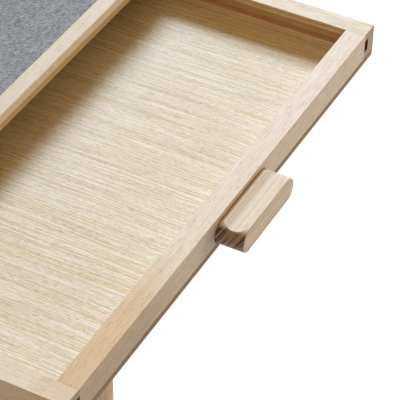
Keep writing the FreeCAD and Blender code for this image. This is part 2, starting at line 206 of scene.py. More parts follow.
class FeltSettings(bpy.types.PropertyGroup):
    """The felt of the puzzle field."""
    colour: colour_property("Felt", "Grey wool felt", "#A3ADBC")
    dark_colour: colour_property("Dark fibres", "Dark wool among the grey", "#78808C")
    pale_colour: colour_property("Pale fibres", "Pale wool among the grey", "#CAD3E0")
    tuft: length_property("Tuft", "Width of a tuft of one wool", 1.0)
    cell: length_property("Mesh cell", "Spacing of the felt's mesh", 6)
    unevenness: length_property("Unevenness", "How far the felt's surface rises and falls", 0.25)
    edge_round: length_property("Edge rounding", "Radius of the felt's cut edge", 1.0)


class FasteningSettings(bpy.types.PropertyGroup):
    """Screws, pins and glides."""
    steel_colour: colour_property("Steel", "Bright zinc-plated steel", "#C4C7C9")
    nylon_colour: colour_property("Glides", "Black nylon of the foot glides", "#1E1E20")
    head_height: length_property("Head height", "Height of a screw's head", 2.4)
    shank_radius: length_property("Shank radius", "Radius of a screw's shank", 2.0)
    recess_reach: length_property("Recess reach", "Length of each bar of the cross recess", 4.6)
    recess_width: length_property("Recess width", "Width of each bar of the cross recess", 1.1)
    recess_depth: length_property("Recess depth", "Depth of the cross recess", 1.5)
    pin_radius: length_property("Pin radius", "Radius of a pin's head under a drawer", 1.2)
    pin_spacing: length_property("Pin spacing", "Distance between pins under a drawer", 75)
    pin_inset: length_property("Pin inset", "Distance of the pins from the drawer bottom's edge", 8)
    pin_stand: length_property("Pin stand", "How far a pin's head stands out", 0.05)


class StageSettings(bpy.types.PropertyGroup):
    """Camera, lamps, sky and floor."""
    camera_place: bpy.props.FloatVectorProperty(
        name="Camera place", description="Where the camera stands", default=(-0.73391, -0.94793, 1.64641),
        subtype="TRANSLATION", unit="LENGTH")
    camera_heading: angle_property("Camera heading", "Turn of the view from +X towards +Y", 27.309)
    camera_drop: angle_property("Camera drop", "How far the view points down", 40.460)
    camera_roll: angle_property("Camera roll", "Turn of the camera about its view", 1.164)
    lens: amount_property("Lens", "Focal length in mm on a 36 mm sensor", 173.64, "DISTANCE_CAMERA")
    key_heading: angle_property("Key heading", "Turn of the key lamp's place from +X towards +Y", 23.0)
    key_height: angle_property("Key height", "Angle of the key lamp above the table", 35.4)
    key_distance: length_property("Key distance", "From the open drawer to the key lamp", 12000)
    key_size: length_property("Key size", "Side of the square key lamp", 3700)
    key_power: amount_property("Key power", "Power of the key lamp", 1540.0, "POWER")
    key_colour: colour_property("Key colour", "Colour of the key lamp", "#DEF1FF")
    fill_heading: angle_property("Fill heading", "Turn of the reflector's place from +X towards +Y", -43.0)
    fill_distance: length_property("Fill distance", "From the open drawer to the reflector", 2400)
    fill_height: length_property("Fill height", "Height of the reflector's middle above the floor", 760)
    fill_size: length_property("Fill size", "Side of the square reflector", 1200)
    fill_power: amount_property("Fill power", "Power that the reflector gives back", 12.4, "POWER")
    fill_colour: colour_property("Fill colour", "Colour of the reflector's light", "#FFEACB")
    sky_strength: amount_property("Sky", "Light from all round, where 1 is white", 0.385)
    sky_lean: amount_property("Sky lean", "Share it is brighter behind and darker in front", 0.5, "FACTOR")
    sky_colour: colour_property("Sky colour", "Colour of the light from all round", "#FFCA7C")
    backdrop_colour: colour_property("Backdrop", "What the camera sees behind the table", "#FFFFFF")
    floor_colour: colour_property("Floor", "Pale studio floor", "#C2C4C6")
    floor_glow: amount_property("Floor glow", "Light that comes up through the floor", 0.18)
    floor_lift: amount_property("Floor lift", "What lifts the floor to white in the picture", 0.42)
    floor_size: length_property("Floor size", "Side of the square floor", 30000)


SETTINGS = {"puzzle_wood": WoodSettings, "puzzle_felt": FeltSettings,
            "puzzle_fastenings": FasteningSettings, "puzzle_stage": StageSettings}


# How far the tone of wood that is cut across covers the grain, and that tone in each wood
END_STRENGTH = 0.75
FRAME_END = "#A5917A"
CASE_END = "#C9AC88"
LEG_END = "#B08A64"
ASH_END = "#8A7462"

# Rubberwood, planed and oiled: cream, with a slow pinkish drift, faint growth lines and short brown pores
RUBBERWOOD = [
    Streak("#E6D2BC", 420, 24, 24, 0.42, 0.70, 0.45, 1),
    Streak("#DDC6A8", 90, 2.2, 2.2, 0.50, 0.76, 0.50, 3),
    Streak("#F8F1E8", 22, 1.8, 1.8, 0.50, 0.68, 0.50, 2),
    Streak("#CBAF8E", 9, 1.4, 1.4, 0.55, 0.70, 0.50, 2),
    Streak("#A07A54", 7, 0.8, 0.8, 0.65, 0.75, 0.50, 1),
]

# The rim's rubberwood: paler and more golden, with the fine marks of a planer across the grain
RIM_WOOD = [
    Streak("#FFF4DC", 420, 24, 24, 0.42, 0.70, 0.45, 1),
    Streak("#FFECC8", 160, 2.2, 2.2, 0.50, 0.76, 0.60, 3),
    Streak("#FFFAEC", 60, 1.6, 1.6, 0.50, 0.70, 0.55, 2),
    Streak("#E4C89C", 12, 1.3, 1.3, 0.56, 0.72, 0.45, 2),
    Streak("#E2D1B6", 1.0, 14, 14, 0.46, 0.64, 0.20, 0),
]

# Rubberwood of a turned leg: the same wood, warmer, with longer lines
TURNED = [
    Streak("#D2AF8C", 500, 9.0, 9.0, 0.44, 0.70, 0.60, 1),
    Streak("#BF966E", 300, 2.2, 2.2, 0.54, 0.78, 0.60, 3),
    Streak("#EBD6BF", 150, 2.0, 2.0, 0.54, 0.74, 0.40, 2),
    Streak("#9A7450", 8, 1.0, 1.0, 0.69, 0.78, 0.45, 0),
]

# Ash, cut so that its growth rings stand upright: brown lines along the top that run on round the ends
ASH = [
    Streak("#E2CFB6", 500, 7.0, 60, 0.45, 0.70, 0.50, 1),
    Streak("#C9A682", 400, 1.7, 40, 0.52, 0.72, 0.45, 2),
    Streak("#F3E8DA", 300, 2.0, 40, 0.54, 0.74, 0.50, 1),
    Streak("#A98764", 7, 0.7, 2.0, 0.66, 0.80, 0.35, 0),
]

# The rings where ash is cut across: dark, with pale bands
ASH_RINGS = [
    Streak("#C2B09C", 60, 1.6, 40, 0.48, 0.60, 0.85, 1),
    Streak("#4A3A32", 60, 1.1, 40, 0.50, 0.62, 0.90, 1),
]

# Streaky veneer: pale, tan, grey-brown and golden lines side by side, from front to back, and short flecks
VENEER = [
    Streak("#E1D3B0", 400, 9.0, 9.0, 0.42, 0.70, 0.50, 2),
    Streak("#CDBE90", 190, 1.3, 1.3, 0.46, 0.62, 0.70, 1),
    Streak("#F9F9F2", 110, 1.0, 1.0, 0.46, 0.60, 0.90, 1),
    Streak("#B8AA90", 80, 0.9, 0.9, 0.52, 0.66, 0.60, 1),
    Streak("#E2C88E", 260, 1.2, 1.2, 0.53, 0.66, 0.75, 1),
    Streak("#CFBD92", 5, 0.9, 0.9, 0.50, 0.66, 0.40, 1),
    Streak("#FBFBF5", 4, 0.9, 0.9, 0.54, 0.68, 0.50, 1),
    Streak("#9E8A62", 5, 0.8, 0.8, 0.67, 0.77, 0.40, 0),
]

# Birch veneer of the plain boards: pale, with wide soft figure
BIRCH = [
    Streak("#D6BC92", 500, 18, 18, 0.42, 0.72, 0.60, 2),
    Streak("#C8AA7C", 200, 2.4, 2.4, 0.55, 0.78, 0.50, 3),
]

# The cut edge of plywood: tones of its cross plies and of its speckle, and the speckle itself
FLOOR_EDGE = ("#8A6844", "#AC8A60")
BOARD_EDGE = ("#D0AE79", "#E6C693")
SPECKLE = Streak(None, 2.0, 2.0, 1.0, 0.35, 0.75, 0.60, 2, 3.0)

# Marks of wood: how a veneer's grain drifts, the fine fibres and the ragged border of heartwood; and the
# darker lines of painted shade along the drawer sides' inner faces
DRIFT = Streak(None, 160, 45, 45, 0.20, 0.80, 1.00, 1, 61.0)
FIBRES = Streak(None, 25, 0.9, 0.9, 0.25, 0.75, 1.00, 2, 50.0)
TONGUES = Streak(None, 160, 5, 5, 0.20, 0.80, 1.00, 2, 31.0)
INNER_SHADE_LINES = Streak(None, 500, 2.6, 2.6, 0.50, 0.62, 0.40, 1, 17.8)

# Wool: dark and pale tufts, in tuft widths, combed lines and wide clouds
DARK_TUFTS = Streak(None, 2.4, 1, 1, 0.49, 0.62, 0.95, 2, 0.0)
PALE_TUFTS = Streak(None, 2.4, 1, 1, 0.48, 0.68, 0.60, 2, 11.0)
COMBED = Streak(None, 16, 3, 3, 0.35, 0.70, 0.55, 2, 23.0)
CLOUDS = Streak(None, 40, 40, 40, 0.30, 0.70, 0.25, 2, 37.0)

# The cloud of zinc plating and the grain of moulded nylon
PLATING = Streak("#AEB1B2", 3, 3, 3, 0.30, 0.70, 1.00, 3, 1.0)
GRIT = Streak("#2A2A2C", 0.8, 0.8, 0.8, 0.30, 0.70, 1.00, 1, 2.0)


# Nodes and materials
def set_inputs(tree, node, inputs):
    """Give each input of a node a value, or a link from another node's socket."""
    for key, value in inputs.items():
        if isinstance(value, bpy.types.NodeSocket):
            tree.links.new(value, node.inputs[key])
        else:
            node.inputs[key].default_value = value


def add(tree, kind, inputs=None, **settings):
    """Add a node with its settings and links."""
    node = tree.nodes.new(kind)
    for name, value in settings.items():
        setattr(node, name, value)
    set_inputs(tree, node, inputs or {})
    return node


def new_material(name):
    """An empty material, with its shader and the object's own coordinates."""
    material = bpy.data.materials.new(name)
    material.use_nodes = True
    tree = material.node_tree
    tree.nodes.clear()
    shader = add(tree, "ShaderNodeBsdfPrincipled")
    add(tree, "ShaderNodeOutputMaterial", {"Surface": shader.outputs["BSDF"]})
    return material, tree, shader, add(tree, "ShaderNodeTexCoord").outputs["Object"]


def split(tree, coordinates):
    """The X, Y and Z of one of the texture coordinates."""
    place = add(tree, "ShaderNodeTexCoord").outputs[coordinates]
    return add(tree, "ShaderNodeSeparateXYZ", {"Vector": place}).outputs


def streak_mask(tree, grain, streak):
    """Noise drawn out along the grain, from 0 to the streak's strength."""
    scale = [1 / (size * MM) for size in (streak.length, streak.width, streak.depth)]
    stretched = add(tree, "ShaderNodeMapping",
                    {"Vector": grain, "Scale": scale, "Location": [streak.place] * 3}).outputs["Vector"]
    pattern = add(tree, "ShaderNodeTexNoise",
                  {"Vector": stretched, "Scale": 1.0, "Detail": streak.detail}).outputs["Fac"]
    return add(tree, "ShaderNodeMapRange", {
        "Value": pattern, "From Min": streak.start, "From Max": streak.end, "To Max": streak.strength},
        interpolation_type="SMOOTHSTEP").outputs["Result"]


def grain_space(tree, place, axis, lean=0.0, wander=0.0):
    """Coordinates with the grain along X, leaning about it and wandering from side to side."""
    turn = {"X": (-lean, 0, 0), "Y": (0, 0, -math.pi / 2), "Z": (0, math.pi / 2, 0)}[axis]
    straight = add(tree, "ShaderNodeMapping", {"Vector": place, "Rotation": turn}).outputs["Vector"]
    if not wander:
        return straight
    drift = streak_mask(tree, straight, DRIFT._replace(strength=wander))
    aside = add(tree, "ShaderNodeCombineXYZ", {"Y": drift}).outputs["Vector"]
    return add(tree, "ShaderNodeVectorMath", {0: straight, 1: aside}, operation="ADD").outputs["Vector"]


def lay_tones(tree, colour, layers, blend="MIX"):
    """Lay tones over a colour, each by its own mask: opaque, or as a stain that lets the grain through."""
    for mask, tone in layers:
        mixed = add(tree, "ShaderNodeMix", {MIX_FACTOR: mask, MIX_UNDER: colour, MIX_OVER: tone},
                    data_type="RGBA", blend_type=blend)
        colour = mixed.outputs[MIX_RESULT]
    return colour


def lay_streaks(tree, grain, colour, streaks):
    """Lay streaks over a colour, each from its own part of the noise."""
    for number, streak in enumerate(streaks):
        mask = streak_mask(tree, grain, streak._replace(place=NOISE_STEP * number))
        colour = lay_tones(tree, colour, [(mask, linear(streak.tone))])
    return colour


def facing_mask(tree, axis, facing=FACING):
    """1 on faces that look along an axis, either way, and 0 on the others."""
    along = add(tree, "ShaderNodeMath", {0: split(tree, "Normal")[axis]}, operation="ABSOLUTE").outputs[0]
    start, full = facing
    return add(tree, "ShaderNodeMapRange",
               {"Value": along, "From Min": start, "From Max": full}).outputs["Result"]


def finish_wood(tree, shader, grain, colour, roughness):
    """Satin oil on fine fibres: the fibres break the gloss and stand up a little."""
    fibres = streak_mask(tree, grain, FIBRES)
    gloss = add(tree, "ShaderNodeMapRange", {
        "Value": fibres, "To Min": roughness - ROUGHNESS_SPREAD,
        "To Max": roughness + ROUGHNESS_SPREAD}).outputs["Result"]
    bump = add(tree, "ShaderNodeBump", {"Height": fibres, "Strength": 0.25, "Distance": 0.15 * MM})
    set_inputs(tree, shader, {
        "Base Color": colour, "Roughness": gloss, "IOR": 1.5, "Specular IOR Level": 0.35,
        "Normal": bump.outputs["Normal"]})


def solid_wood(name, axis, base, streaks, end_tone, end_streaks=(), lean=0.0, stains=()):
    """Solid wood with its grain along an axis: streaks along it, and a darker tone where it is cut across."""
    material, tree, shader, place = new_material(name)
    grain = grain_space(tree, place, axis, lean)
    face = lay_streaks(tree, grain, base, streaks)
    face = lay_tones(tree, face, [stain(tree, grain) for stain in stains], "MULTIPLY")
    cut = lay_tones(tree, face, [(END_STRENGTH, linear(end_tone))])
    cut = lay_streaks(tree, grain, cut, end_streaks)
    colour = lay_tones(tree, face, [(facing_mask(tree, axis, CUT_FACING), cut)])
    finish_wood(tree, shader, grain, colour, WOOD_ROUGHNESS)
    return material


def heartwood_and_shade(node, axis, sign, reach, ragged, tone, shares):
    """A fading stain at one end of a board, by shares for its top and below: heartwood, and painted shade on
    a rail's face.
    """
    low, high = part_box(node)
    start = getattr(low if sign < 0 else high, axis)
    on_top, below = shares

    def stain(tree, grain):
        along = add(tree, "ShaderNodeSeparateXYZ", {"Vector": grain}).outputs["X"]
        tongues = streak_mask(tree, grain, TONGUES)
        border = add(tree, "ShaderNodeMath", {0: tongues, 1: -sign * ragged, 2: along},
                     operation="MULTIPLY_ADD").outputs[0]
        fade = add(tree, "ShaderNodeMapRange", {
            "Value": border, "From Min": start - sign * (reach - ragged),
            "From Max": start - sign * (reach + ragged), "To Min": 1.0, "To Max": 0.0},
            interpolation_type="SMOOTHSTEP").outputs["Result"]
        shallow = add(tree, "ShaderNodeMapRange", {
            "Value": split(tree, "Object")["Z"], "From Min": high.z - HEART_AND_SHADE_DEPTH, "From Max": high.z,
            "To Min": below, "To Max": on_top}).outputs["Result"]
        mask = add(tree, "ShaderNodeMath", {0: fade, 1: shallow}, operation="MULTIPLY").outputs[0]
        return mask, tone
    return stain


def inner_face_shade(sign, tone, streak=None):
    """Painted shade on the face of a drawer side that looks into the drawer, all over or in streaks."""
    def stain(tree, grain):
        start, full = [-sign * value for value in FACING]
        mask = add(tree, "ShaderNodeMapRange", {
            "Value": split(tree, "Normal")["X"], "From Min": start, "From Max": full}).outputs["Result"]
        if streak:
            lines = streak_mask(tree, grain, streak)
            mask = add(tree, "ShaderNodeMath", {0: mask, 1: lines}, operation="MULTIPLY").outputs[0]
        return mask, tone
    return stain


def rim_top_painted_light(tree, grain):
    """Painted light: a darker tone for the rim's faces that look up or down, so its near-white sides look lit
    beside them.
    """
    return facing_mask(tree, "Z"), bpy.context.scene.puzzle_wood.rim_top_colour


def rim_foot_shade(tree, grain):
    """Painted shade: a dark line along the rim's foot, where it meets the board."""
    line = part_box("rim_front")[0].z + RIM_FOOT_SHADE_HEIGHT
    mask = add(tree, "ShaderNodeMapRange", {
        "Value": split(tree, "Object")["Z"], "From Min": line + EDGE_SLACK, "From Max": line - EDGE_SLACK})
    return mask.outputs["Result"], bpy.context.scene.puzzle_wood.rim_foot_colour


def groove_shade(node, sign, tone, mouth=None):
    """Painted shade on the walls of the groove along a drawer side: all of it, or its mouths to a depth."""
    low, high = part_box(node)
    inner = low.x if sign > 0 else high.x
    middle = Vector((inner + sign * GROOVE_DEPTH / 2, (low.y + high.y) / 2,
                     high.z - GROOVE_BELOW_TOP - GROOVE_HEIGHT / 2))
    spans = {"X": (middle.x, GROOVE_DEPTH / 2 + EDGE_SLACK), "Z": (middle.z, GROOVE_HEIGHT / 2 + EDGE_SLACK)}

    def stain(tree, grain):
        place = split(tree, "Object")
        beside, level = [
            add(tree, "ShaderNodeMath", {0: place[axis], 1: at, 2: half}, operation="COMPARE").outputs[0]
            for axis, (at, half) in spans.items()]
        mask = add(tree, "ShaderNodeMath", {0: beside, 1: level}, operation="MULTIPLY").outputs[0]
        if mouth:
            within = (high.y - low.y) / 2 - mouth
            deep = add(tree, "ShaderNodeMath", {0: place["Y"], 1: middle.y, 2: within},
                       operation="COMPARE").outputs[0]
            mask = add(tree, "ShaderNodeMath", {0: mask, 1: deep},
                       operation="SUBTRACT", use_clamp=True).outputs[0]
        return mask, tone
    return stain


def handle_seam_shadow(node, front, tone):
    """Painted shadow in the seam round a handle: a thin dark line on the rail, behind its rounded outline."""
    low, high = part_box(node)
    middle = (low + high) / 2
    middle.y = high.y if front < 0 else low.y
    radius = (high.z - low.z) / 2
    straight = (high.x - low.x) / 2 - radius

    def stain(tree, grain):
        place = add(tree, "ShaderNodeTexCoord").outputs["Object"]
        offset = add(tree, "ShaderNodeVectorMath", {0: place, 1: middle}, operation="SUBTRACT").outputs[0]
        away = add(tree, "ShaderNodeSeparateXYZ", {"Vector": offset}).outputs
        aside = add(tree, "ShaderNodeMath", {0: away["X"]}, operation="ABSOLUTE").outputs[0]
        past = add(tree, "ShaderNodeMath", {0: aside, 1: straight},
                   operation="SUBTRACT", use_clamp=True).outputs[0]
        flat = add(tree, "ShaderNodeCombineXYZ", {"X": past, "Z": away["Z"]}).outputs["Vector"]
        far = add(tree, "ShaderNodeVectorMath", {0: flat}, operation="LENGTH").outputs["Value"]
        edge = add(tree, "ShaderNodeMapRange", {
            "Value": far, "From Min": radius + HANDLE_SEAM_SHADOW, "From Max": radius}).outputs["Result"]
        level = add(tree, "ShaderNodeMath", {0: away["Y"], 1: 0.0, 2: HANDLE_SEAM_SHADOW},
                    operation="COMPARE").outputs[0]
        mask = add(tree, "ShaderNodeMath", {0: edge, 1: level}, operation="MULTIPLY").outputs[0]
        return mask, tone
    return stain


def plywood(name, node, axis, base, streaks, plies, edge_colour, edge_tones):
    """A plywood board: a veneered face with its grain along an axis, its plies along the cut edge, and
    painted shade at the edge's top.
    """
    material, tree, shader, place = new_material(name)
    low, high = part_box(node)
    grain = grain_space(tree, place, axis, wander=VENEER_WANDER)
    face = lay_streaks(tree, grain, base, streaks)
    height = split(tree, "Object")["Z"]
    ply = add(tree, "ShaderNodeMapRange", {
        "Value": height, "From Min": low.z, "From Max": high.z, "To Max": plies}).outputs["Result"]
    turn = add(tree, "ShaderNodeMath", {0: ply, 1: 2.0}, operation="MODULO").outputs[0]
    cross_ply = add(tree, "ShaderNodeMapRange", {
        "Value": turn, "From Min": 1 - PLY_BLUR, "From Max": 1 + PLY_BLUR}).outputs["Result"]
    speckle = streak_mask(tree, grain, SPECKLE)
    # Painted shade: a dark line along the top of the cut edge, where the board meets what lies on it
    seam_shade = add(tree, "ShaderNodeMapRange", {
        "Value": height, "From Min": high.z - PLY_SEAM_SHADE, "From Max": high.z - PLY_SEAM_SHADE / 2,
        "To Max": PLY_SEAM_SHADE_STRENGTH}).outputs["Result"]
    cross_tone, speckle_tone = [linear(tone) for tone in edge_tones]
    seam_shade_tone = bpy.context.scene.puzzle_wood.seam_shade_colour
    edge = lay_tones(tree, edge_colour, [(cross_ply, cross_tone), (speckle, speckle_tone), (seam_shade, seam_shade_tone)])
    colour = lay_tones(tree, edge, [(facing_mask(tree, "Z"), face)])
    finish_wood(tree, shader, grain, colour, PLY_ROUGHNESS)
    return material


def wool_felt():
    """Grey wool felt, pressed from mixed wools: a mottle of dark and pale tufts, dull, with a soft sheen."""
    settings = bpy.context.scene.puzzle_felt
    material, tree, shader, place = new_material("grey_wool_felt")
    slanted = add(tree, "ShaderNodeMapping", {"Vector": place, "Rotation": (0, 0, TUFT_SLANT)}).outputs[0]
    tuft = settings.tuft / MM
    dark, pale = [
        streak_mask(tree, slanted, streak._replace(
            length=streak.length * tuft, width=streak.width * tuft, depth=streak.depth * tuft))
        for streak in (DARK_TUFTS, PALE_TUFTS)]
    cloud, combed = [streak_mask(tree, place, streak) for streak in (CLOUDS, COMBED)]
    darker = [(mask, settings.dark_colour) for mask in (cloud, combed, dark)]
    colour = lay_tones(tree, settings.colour, [*darker, (pale, settings.pale_colour)])
    height = add(tree, "ShaderNodeMath", {0: pale, 1: dark}, operation="SUBTRACT").outputs[0]
    bump = add(tree, "ShaderNodeBump", {"Height": height, "Strength": 0.5, "Distance": 0.4 * MM})
    set_inputs(tree, shader, {
        "Base Color": colour, "Roughness": 0.95, "Specular IOR Level": 0.1, "Sheen Weight": 0.15,
        "Sheen Roughness": 0.6, "Normal": bump.outputs["Normal"]})
    return material


def zinc_steel():
    """Zinc-plated steel: bright, with the faint cloud of plating."""
    material, tree, shader, place = new_material("zinc_plated_steel")
    cloud = streak_mask(tree, place, PLATING)
    steel = bpy.context.scene.puzzle_fastenings.steel_colour
    colour = lay_tones(tree, steel, [(cloud, linear(PLATING.tone))])
    gloss = add(tree, "ShaderNodeMapRange", {"Value": cloud, "To Min": 0.28, "To Max": 0.42})
    set_inputs(tree, shader, {"Base Color": colour, "Metallic": 1.0, "Roughness": gloss.outputs["Result"]})
    return material


def glide_nylon():
    """Moulded nylon: near black, with a fine spark-eroded grain."""
    material, tree, shader, place = new_material("moulded_nylon")
    grit = streak_mask(tree, place, GRIT)
    nylon = bpy.context.scene.puzzle_fastenings.nylon_colour
    colour = lay_tones(tree, nylon, [(grit, linear(GRIT.tone))])
    bump = add(tree, "ShaderNodeBump", {"Height": grit, "Strength": 0.3, "Distance": 0.1 * MM})
    set_inputs(tree, shader, {
        "Base Color": colour, "Roughness": 0.5, "IOR": 1.53, "Normal": bump.outputs["Normal"]})
    return material


def dress(material, *nodes):
    """Put one material on CAD nodes."""
    for node in nodes:
        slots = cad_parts[node].data.materials
        slots.clear()
        slots.append(material)


# Meshes
def new_piece(name, mesh, body, material):
    """A finished piece at the origin that rides on a body."""
    piece = bpy.data.objects.new(name, mesh)
    bpy.context.scene.collection.objects.link(piece)
    mesh.materials.clear()
    mesh.materials.append(material)
    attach(piece, body)
    return piece


def node_mesh(name, points, edges, tree, inputs):
    """The plain mesh that a node tree makes of points and edges, with its named inputs set first."""
    source = bpy.data.meshes.new(name)
    source.from_pydata(points, edges, [])
    carrier = bpy.data.objects.new(name, source)
    bpy.context.scene.collection.objects.link(carrier)
    modifier = carrier.modifiers.new("nodes", "NODES")
    modifier.node_group = tree
    identifiers = {item.name: item.identifier for item in tree.interface.items_tree if item.in_out == "INPUT"}
    for key, value in inputs.items():
        modifier[identifiers[key]] = value
    evaluated = carrier.evaluated_get(bpy.context.evaluated_depsgraph_get())
    mesh = bpy.data.meshes.new_from_object(evaluated)
    carrier.modifiers.remove(modifier)
    bpy.data.objects.remove(carrier)
    return mesh


def new_node_tree(name, numbers, vectors=()):
    """An empty geometry tree that takes numbers, vectors and a material, with its input and output nodes."""
    tree = bpy.data.node_groups.new(name, "GeometryNodeTree")
    inputs = {"Geometry": ["Geometry"], "Float": numbers, "Vector": vectors, "Material": ["Material"]}
    for kind, keys in inputs.items():
        for key in keys:
            tree.interface.new_socket(key, in_out="INPUT", socket_type=f"NodeSocket{kind}")
    tree.interface.new_socket("Geometry", in_out="OUTPUT", socket_type="NodeSocketGeometry")
    return tree, tree.nodes.new("NodeGroupInput").outputs, tree.nodes.new("NodeGroupOutput")


def screw_tree():
    """Screws on points: a tapered head with a cross recess and a plain shank, each turned by chance."""
    tree, given, result = new_node_tree(
        "screws", ("Face radius", "Seat radius", "Head height", "Shank radius", "Shank length"),
        ("Recess size", "Turn"))
    cone = add(tree, "GeometryNodeMeshCone", {
        "Vertices": HEAD_SIDES, "Radius Top": given["Face radius"], "Radius Bottom": given["Seat radius"],
        "Depth": given["Head height"]}).outputs["Mesh"]
    sunk = add(tree, "ShaderNodeMath", {0: given["Head height"], 1: -1.0}, operation="MULTIPLY").outputs[0]
    drop = add(tree, "ShaderNodeCombineXYZ", {"Z": sunk}).outputs["Vector"]
    head = add(tree, "GeometryNodeTransform", {"Geometry": cone, "Translation": drop}).outputs[0]
    bar = add(tree, "GeometryNodeMeshCube", {"Size": given["Recess size"]}).outputs["Mesh"]
    cross = add(tree, "GeometryNodeTransform", {"Geometry": bar, "Rotation": (0, 0, math.pi / 2)}).outputs[0]
    cut = add(tree, "GeometryNodeMeshBoolean", {"Mesh 1": head, "Mesh 2": bar}, operation="DIFFERENCE")
    tree.links.new(cross, cut.inputs["Mesh 2"])
    rod = add(tree, "GeometryNodeMeshCylinder", {
        "Vertices": SHANK_SIDES, "Radius": given["Shank radius"], "Depth": given["Shank length"]}).outputs[0]
    half = add(tree, "ShaderNodeMath", {0: given["Shank length"], 1: -0.5}, operation="MULTIPLY").outputs[0]
    low = add(tree, "ShaderNodeMath", {0: half, 1: sunk}, operation="ADD").outputs[0]
    under = add(tree, "ShaderNodeCombineXYZ", {"Z": low}).outputs["Vector"]
    shank = add(tree, "GeometryNodeTransform", {"Geometry": rod, "Translation": under}).outputs[0]
    screw = add(tree, "GeometryNodeJoinGeometry", {"Geometry": cut.outputs["Mesh"]})
    tree.links.new(shank, screw.inputs["Geometry"])
    placed = add(tree, "GeometryNodeInstanceOnPoints", {
        "Points": given["Geometry"], "Instance": screw.outputs[0], "Rotation": given["Turn"]}).outputs[0]
    chance = add(tree, "FunctionNodeRandomValue", {"Min": 0.0, "Max": math.pi, "Seed": TURN_SEED},
                 data_type="FLOAT")
    spin = add(tree, "ShaderNodeCombineXYZ", {"Z": chance.outputs[1]}).outputs["Vector"]
    spun = add(tree, "GeometryNodeRotateInstances", {"Instances": placed, "Rotation": spin}).outputs[0]
    finish_tree(tree, spun, given, result)
    return tree


def pin_tree():
    """Pin heads along an outline, evenly spaced: low discs that look down."""
    tree, given, result = new_node_tree("pins", ("Radius", "Spacing", "Height"))
    path = add(tree, "GeometryNodeMeshToCurve", {"Mesh": given["Geometry"]}).outputs[0]
    points = add(tree, "GeometryNodeResampleCurve", {"Curve": path, "Length": given["Spacing"]},
                 mode="LENGTH").outputs[0]
    head = add(tree, "GeometryNodeMeshCylinder", {
        "Vertices": PIN_SIDES, "Radius": given["Radius"], "Depth": given["Height"]}).outputs["Mesh"]
    placed = add(tree, "GeometryNodeInstanceOnPoints", {"Points": points, "Instance": head}).outputs[0]
    finish_tree(tree, placed, given, result)
    return tree


def finish_tree(tree, instances, given, result):
    """End a geometry tree: make its instances real and give them their material."""
    real = add(tree, "GeometryNodeRealizeInstances", {"Geometry": instances}).outputs[0]
    done = add(tree, "GeometryNodeSetMaterial", {"Geometry": real, "Material": given["Material"]}).outputs[0]
    set_inputs(tree, result, {"Geometry": done})


def felt_mesh(low, high):
    """A closed felt sheet: an uneven top, a rounded cut edge and a flat underside."""
    settings = bpy.context.scene.puzzle_felt
    size = high - low
    columns, rows = [max(2, round(length / settings.cell)) for length in (size.x, size.y)]
    shape = bmesh.new()
    bmesh.ops.create_grid(shape, x_segments=columns, y_segments=rows, size=0.5)
    for vertex in shape.verts:
        vertex.co = Vector((low.x + (vertex.co.x + 0.5) * size.x,
                            low.y + (vertex.co.y + 0.5) * size.y, high.z))
    rim = [edge for edge in shape.edges if edge.is_boundary]
    inner = set(shape.verts) - {vertex for edge in rim for vertex in edge.verts}
    for vertex in inner:
        rise = noise.fractal(vertex.co / FELT_RISE_WIDTH, *FELT_RISE_OCTAVES)
        vertex.co.z += settings.unevenness * (rise - 1) / 2
    for vertex in set(shape.verts) - inner:
        vertex.co.z -= settings.edge_round
    walls = bmesh.ops.extrude_edge_only(shape, edges=rim)["geom"]
    for vertex in [item for item in walls if isinstance(item, bmesh.types.BMVert)]:
        vertex.co.z = low.z
    under = [edge for edge in shape.edges if edge.is_boundary]
    bmesh.ops.edgeloop_fill(shape, edges=under)
    bmesh.ops.recalc_face_normals(shape, faces=shape.faces)
    for face in shape.faces:
        face.smooth = face.normal.z > FELT_SMOOTH
    mesh = bpy.data.meshes.new("felt_field")
    shape.to_mesh(mesh)
    shape.free()
    return mesh


